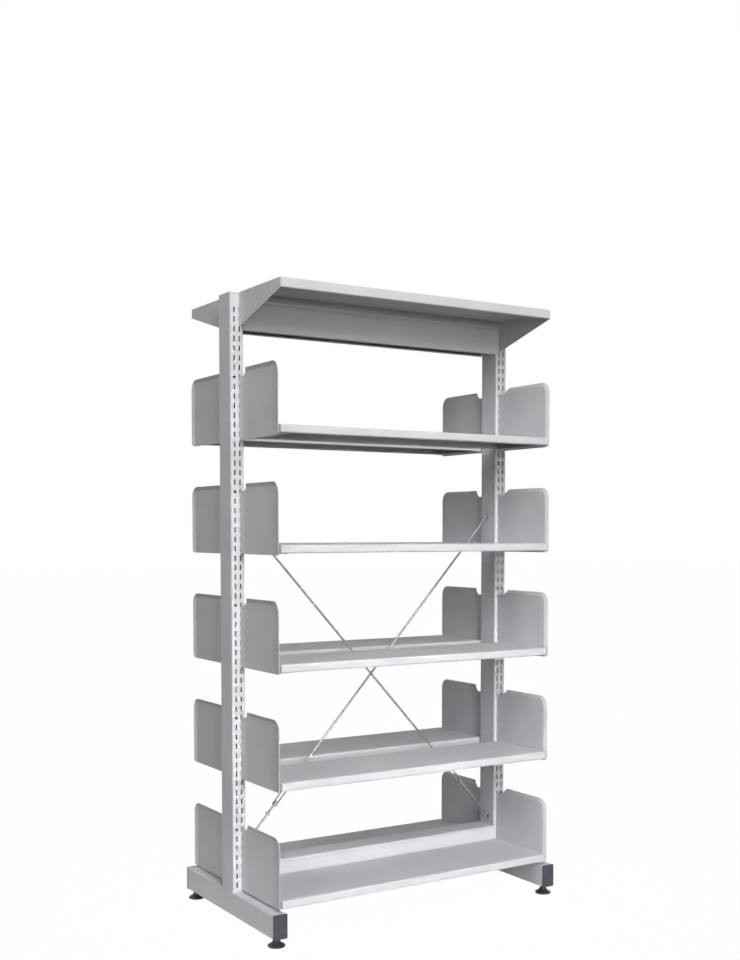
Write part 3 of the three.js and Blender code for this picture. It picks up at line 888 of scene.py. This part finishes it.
def turnbuckle(name, node, side, sizes):
    """An open-bodied turnbuckle: two bored bosses joined by two bars, with a window between."""
    middle, up, radius = brace(side)
    low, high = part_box(node)
    body_radius = (high.y - low.y) / 2
    # the ends of a leaning body make its box taller than its length along the brace
    span = (high.z - low.z) / up.z
    body_length = span - 2 * body_radius * abs(up.x) / up.z
    turned = lean(up)
    body = begin(
        name,
        bpy.ops.mesh.primitive_cylinder_add,
        vertices=32,
        radius=body_radius,
        depth=body_length,
        location=middle,
        rotation=turned,
    )
    pick(body, "FACE", lambda at, normal: abs(normal.dot(up)) > FACING)
    bpy.ops.mesh.bevel(offset=sizes.sleeve_edge, segments=3, affect="EDGES")
    end(body)
    window = body_length - 2 * sizes.sleeve_boss
    carve(
        body,
        cutter(
            "window",
            bpy.ops.mesh.primitive_cube_add,
            middle,
            turned,
            size=1.0,
            scale=(sizes.sleeve_window, 4 * body_radius, window),
        ),
    )
    for way in (-1, 1):
        beside = Vector((0, way * (sizes.sleeve_bar / 2 + body_radius), 0))
        carve(
            body,
            cutter(
                "flat",
                bpy.ops.mesh.primitive_cube_add,
                middle + beside,
                turned,
                size=1.0,
                scale=(4 * body_radius, 2 * body_radius, window + sizes.sleeve_bar / 2),
            ),
        )
    bore(body, middle, turned, radius + sizes.bore_gap, 2 * body_length)
    soften(body, sizes.edge)
    return body


def lock_nut(name, node, side, sizes):
    """A hexagonal nut with its edges rounded off."""
    _, up, radius = brace(side)
    low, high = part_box(node)
    place = (low + high) / 2
    turned = lean(up)
    nut = begin(
        name,
        bpy.ops.mesh.primitive_cylinder_add,
        vertices=6,
        radius=(high.y - low.y) / 2,
        depth=sizes.nut_height,
        location=place,
        rotation=turned,
    )
    end(nut)
    bore(nut, place, turned, radius + sizes.bore_gap, 4 * sizes.nut_height)
    soften(nut, sizes.edge * 2)
    return nut


# Stage

WHITE = (1.0, 1.0, 1.0, 1.0)
PAPER = linear("#d8d8d8")
STUDIO_FLOOR = linear("#44341c")
UNIT_MIDDLE = (0.0, 0.0, 0.85)
LOW_SHELVES = (0.0, 0.0, 0.55)


def seen_directly(tree):
    """One where the camera, a reflection or a view through glass meets the surface."""
    path = add_node(tree, "ShaderNodeLightPath")
    first = add_node(
        tree,
        "ShaderNodeMath",
        {0: (path, "Is Camera Ray"), 1: (path, "Is Glossy Ray")},
        operation="MAXIMUM",
    )
    return add_node(
        tree,
        "ShaderNodeMath",
        {0: (first, "Value"), 1: (path, "Is Transmission Ray")},
        operation="MAXIMUM",
    )


def add_floor():
    """A wide pale floor that shows white and keeps a faint shadow."""
    width = 60.0
    paper_reach = 0.6
    paper_end = 1.1
    shown_white = 0.994
    bpy.ops.object.select_all(action="DESELECT")
    bpy.ops.mesh.primitive_plane_add(size=width, location=(0.0, 0.0, 0.0))
    floor = bpy.context.active_object
    floor.name = "pale_floor"
    material = bpy.data.materials.new("Pale Floor")
    material.use_nodes = True
    tree = material.node_tree
    tree.nodes.clear()
    place = add_node(tree, "ShaderNodeTexCoord")
    away = add_node(tree, "ShaderNodeVectorMath", {0: (place, "Object")}, operation="LENGTH")
    # the sheet of paper under the unit ends on a dark studio floor, so it lights the feet and the
    # base more than the canopy
    paper = add_node(
        tree,
        "ShaderNodeMapRange",
        {"Value": (away, "Value"), "From Min": paper_reach, "From Max": paper_end},
    )
    tone = add_node(
        tree,
        "ShaderNodeMix",
        {0: (paper, "Result"), COLOUR_A: PAPER, COLOUR_B: STUDIO_FLOOR},
        data_type="RGBA",
    )
    matt = add_node(tree, "ShaderNodeBsdfDiffuse", {"Color": (tone, COLOUR_MIXED)})
    white = add_node(tree, "ShaderNodeEmission", {"Color": WHITE, "Strength": 1.0})
    share = add_node(
        tree,
        "ShaderNodeMath",
        {0: (seen_directly(tree), "Value"), 1: shown_white},
        operation="MULTIPLY",
    )
    mixed = add_node(
        tree, "ShaderNodeMixShader", {0: (share, "Value"), 1: (matt, "BSDF"), 2: (white, "Emission")}
    )
    add_node(tree, "ShaderNodeOutputMaterial", {"Surface": (mixed, "Shader")})
    floor.data.materials.append(material)


def add_world(scene):
    """A white surround to the eye and a soft grey one to the lit surfaces."""
    world = bpy.data.worlds.new("Soft Surround")
    world.use_nodes = True
    tree = world.node_tree
    tree.nodes.clear()
    light = add_node(tree, "ShaderNodeBackground", {"Color": WHITE, "Strength": 0.16})
    white = add_node(tree, "ShaderNodeBackground", {"Color": WHITE, "Strength": 1.0})
    mixed = add_node(
        tree,
        "ShaderNodeMixShader",
        {0: (seen_directly(tree), "Value"), 1: (light, "Background"), 2: (white, "Background")},
    )
    add_node(tree, "ShaderNodeOutputWorld", {"Surface": (mixed, "Shader")})
    scene.world = world


def add_lamp(name, place, aim, width, watts, spread=180.0):
    """A square softbox, whose grid keeps its light within the spread, in degrees."""
    data = bpy.data.lights.new(name, "AREA")
    data.shape = "SQUARE"
    data.size = width
    data.energy = watts
    data.spread = math.radians(spread)
    lamp = bpy.data.objects.new(name, data)
    lamp.location = place
    lamp.rotation_euler = (Vector(aim) - Vector(place)).to_track_quat("-Z", "Y").to_euler()
    bpy.context.scene.collection.objects.link(lamp)


def add_camera(scene):
    """A camera at the photograph's viewing angle, with the unit low in its picture."""
    heading_degrees = -32.079
    dip_degrees = 2.939
    data = bpy.data.cameras.new("view")
    data.lens = 46.11
    data.sensor_width = 36.0
    data.shift_y = 0.12
    camera = bpy.data.objects.new("view", data)
    camera.location = (-1.8676, -2.9737, 1.0499)
    camera.rotation_euler = (math.radians(90 - dip_degrees), 0.0, math.radians(heading_degrees))
    scene.collection.objects.link(camera)
    scene.camera = camera


# Operators


class SHELVING_OT_frame(bpy.types.Operator):
    """Paint the uprights and their caps, the base beams and the canopy brackets"""

    bl_idname = "shelving.frame"
    bl_label = "Paint Frame"

    def execute(self, context):
        paint_frame()
        return {"FINISHED"}


class SHELVING_OT_panels(bpy.types.Operator):
    """Model one flared side panel and hang its copies on every shelf"""

    bl_idname = "shelving.panels"
    bl_label = "Side Panels"

    def execute(self, context):
        source = flared_panel(context.scene.shelving_sizes)
        for face in FACES:
            for level in LEVELS:
                for side in SIDES:
                    place = f"{face}_{level}_{side}"
                    panel = copy(source, f"flared_panel_{place}", hand(face, side) @ rise(level))
                    fit(panel, f"side_panel_{place}", f"shelf_unit_{face}_{level}", "painted_steel")
        bpy.data.objects.remove(source)
        return {"FINISHED"}


class SHELVING_OT_shelves(bpy.types.Operator):
    """Fold one shelf tray and lay its copies on every pair of side panels"""

    bl_idname = "shelving.shelves"
    bl_label = "Shelves"

    def execute(self, context):
        low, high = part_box("shelf_front_1")
        height = high.z - low.z
        source = folded_tray("shelf_tray", "shelf_front_1", context.scene.shelving_sizes, height, height)
        for face in FACES:
            for level in LEVELS:
                tray = copy(source, f"shelf_tray_{face}_{level}", hand(face, "left") @ rise(level))
                fit(tray, f"shelf_{face}_{level}", f"shelf_unit_{face}_{level}", "painted_steel")
        bpy.data.objects.remove(source)
        return {"FINISHED"}


class SHELVING_OT_canopies(bpy.types.Operator):
    """Fold the two canopies and close the cable windows in their brackets"""

    bl_idname = "shelving.canopies"
    bl_label = "Canopies"

    def execute(self, context):
        low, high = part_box("canopy_front")
        sizes = context.scene.shelving_sizes
        source = folded_tray("canopy_tray", "canopy_front", sizes, high.z - low.z, sizes.canopy_rear)
        for face in FACES:
            tray = copy(source, f"canopy_tray_{face}", hand(face, "left"))
            fit(tray, f"canopy_{face}", f"canopy_unit_{face}", "painted_steel")
        bpy.data.objects.remove(source)
        source = cable_knockout(sizes)
        for face, side in CORNERS:
            plate = copy(source, f"cable_knockout_{face}_{side}", hand(face, side))
            dress(plate, "painted_steel")
            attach(plate, f"canopy_unit_{face}")
        bpy.data.objects.remove(source)
        return {"FINISHED"}


class SHELVING_OT_spreaders(bpy.types.Operator):
    """Fold the two spreaders that tie the uprights and bolt their tabs on"""

    bl_idname = "shelving.spreaders"
    bl_label = "Spreaders"

    def execute(self, context):
        sizes = context.scene.shelving_sizes
        source = button_bolt(sizes)
        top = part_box("top_spreader")[1].z
        for place in ("top", "bottom"):
            node = f"{place}_spreader"
            fit(spreader(f"{place}_tie_channel", node, sizes), node, "frame", "painted_steel")
            fall = Matrix.Translation((0, 0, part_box(node)[1].z - top))
            for face, side in CORNERS:
                bolt = copy(source, f"{place}_tie_bolt_{face}_{side}", fall @ hand(face, side))
                dress(bolt, "plated_steel")
                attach(bolt, "frame")
        bpy.data.objects.remove(source)
        return {"FINISHED"}


class SHELVING_OT_feet(bpy.types.Operator):
    """Model one levelling foot and screw its copies into the base beams"""

    bl_idname = "shelving.feet"
    bl_label = "Levelling Feet"

    def execute(self, context):
        source = levelling_foot("levelling_foot", "foot_left_front", context.scene.shelving_sizes)
        for face, side in CORNERS:
            foot = copy(source, f"levelling_foot_{side}_{face}", hand(face, side))
            fit(foot, f"foot_{side}_{face}", f"foot_{side}_{face}", "black_rubber")
        bpy.data.objects.remove(source)
        return {"FINISHED"}


class SHELVING_OT_caps(bpy.types.Operator):
    """Model one plastic end cap and push its copies into the base beams"""

    bl_idname = "shelving.caps"
    bl_label = "End Caps"

    def execute(self, context):
        source = end_cap("end_cap", "base_cap_left_front", context.scene.shelving_sizes)
        for face, side in CORNERS:
            cap = copy(source, f"end_cap_{side}_{face}", hand(face, side))
            fit(cap, f"base_cap_{side}_{face}", "frame", "dark_plastic")
        bpy.data.objects.remove(source)
        return {"FINISHED"}


class SHELVING_OT_braces(bpy.types.Operator):
    """Bend the crossed brace rods and fit their turnbuckles and lock nuts"""

    bl_idname = "shelving.braces"
    bl_label = "Crossed Braces"

    def execute(self, context):
        sizes = context.scene.shelving_sizes
        for side in SIDES:
            for place in ("upper", "lower"):
                node = f"brace_rod_{place}_{side}"
                rod = bent_rod(f"bent_rod_{place}_{side}", node, side, place == "upper", sizes)
                fit(rod, node, "frame", "plated_steel")
            body = f"turnbuckle_{side}"
            sleeve = turnbuckle(f"tension_sleeve_{side}", body, side, sizes)
            fit(sleeve, body, body, "plated_steel")
            nut = lock_nut(f"hexagon_nut_{side}", f"lock_nut_{side}", side, sizes)
            fit(nut, f"lock_nut_{side}", "frame", "plated_steel")
        return {"FINISHED"}


class SHELVING_OT_stage(bpy.types.Operator):
    """Set up the pale floor, the soft light and the camera"""

    bl_idname = "shelving.stage"
    bl_label = "Stage"

    def execute(self, context):
        scene = context.scene
        scene.view_settings.view_transform = "Standard"
        add_floor()
        add_world(scene)
        add_lamp("key_softbox", (-1.4, -7.2, 4.1), UNIT_MIDDLE, width=2.4, watts=262.0)
        add_lamp("high_softbox", (-1.2, -5.2, 5.2), UNIT_MIDDLE, width=2.0, watts=110.0)
        add_lamp("left_fill", (-4.5, -1.5, 3.0), UNIT_MIDDLE, width=1.8, watts=67.0)
        add_lamp("front_fill", (-0.8, -6.5, 1.6), UNIT_MIDDLE, width=1.2, watts=75.0)
        add_lamp("grid_fill", (-0.8, -6.5, 0.9), LOW_SHELVES, width=0.9, watts=2.2, spread=18.0)
        add_lamp("back_fill", (2.4, 6.6, 0.9), UNIT_MIDDLE, width=1.2, watts=45.0)
        add_lamp("right_fill", (4.8, 1.6, 0.9), UNIT_MIDDLE, width=1.2, watts=14.0)
        add_camera(scene)
        return {"FINISHED"}


class SHELVING_PT_sidebar(bpy.types.Panel):
    """The shelving's pieces, in the order in which they are made"""

    bl_idname = "SHELVING_PT_sidebar"
    bl_label = "Library Shelving"
    bl_space_type = "VIEW_3D"
    bl_region_type = "UI"
    bl_category = "Shelving"

    def draw(self, context):
        for step in STEPS:
            self.layout.operator(step.bl_idname)


STEPS = (
    SHELVING_OT_stage,
    SHELVING_OT_frame,
    SHELVING_OT_panels,
    SHELVING_OT_shelves,
    SHELVING_OT_canopies,
    SHELVING_OT_spreaders,
    SHELVING_OT_feet,
    SHELVING_OT_caps,
    SHELVING_OT_braces,
)
CLASSES = (ShelvingSizes, ShelvingColours, *STEPS, SHELVING_PT_sidebar)


def register():
    for cls in CLASSES:
        bpy.utils.register_class(cls)
    bpy.types.Scene.shelving_sizes = bpy.props.PointerProperty(type=ShelvingSizes)
    bpy.types.Scene.shelving_colours = bpy.props.PointerProperty(type=ShelvingColours)


def unregister():
    del bpy.types.Scene.shelving_colours
    del bpy.types.Scene.shelving_sizes
    for cls in reversed(CLASSES):
        bpy.utils.unregister_class(cls)


def main():
    register()
    bpy.ops.shelving.stage()
    bpy.ops.shelving.frame()
    bpy.ops.shelving.panels()
    bpy.ops.shelving.shelves()
    bpy.ops.shelving.canopies()
    bpy.ops.shelving.spreaders()
    bpy.ops.shelving.feet()
    bpy.ops.shelving.caps()
    bpy.ops.shelving.braces()


if __name__ == "__main__":
    main()
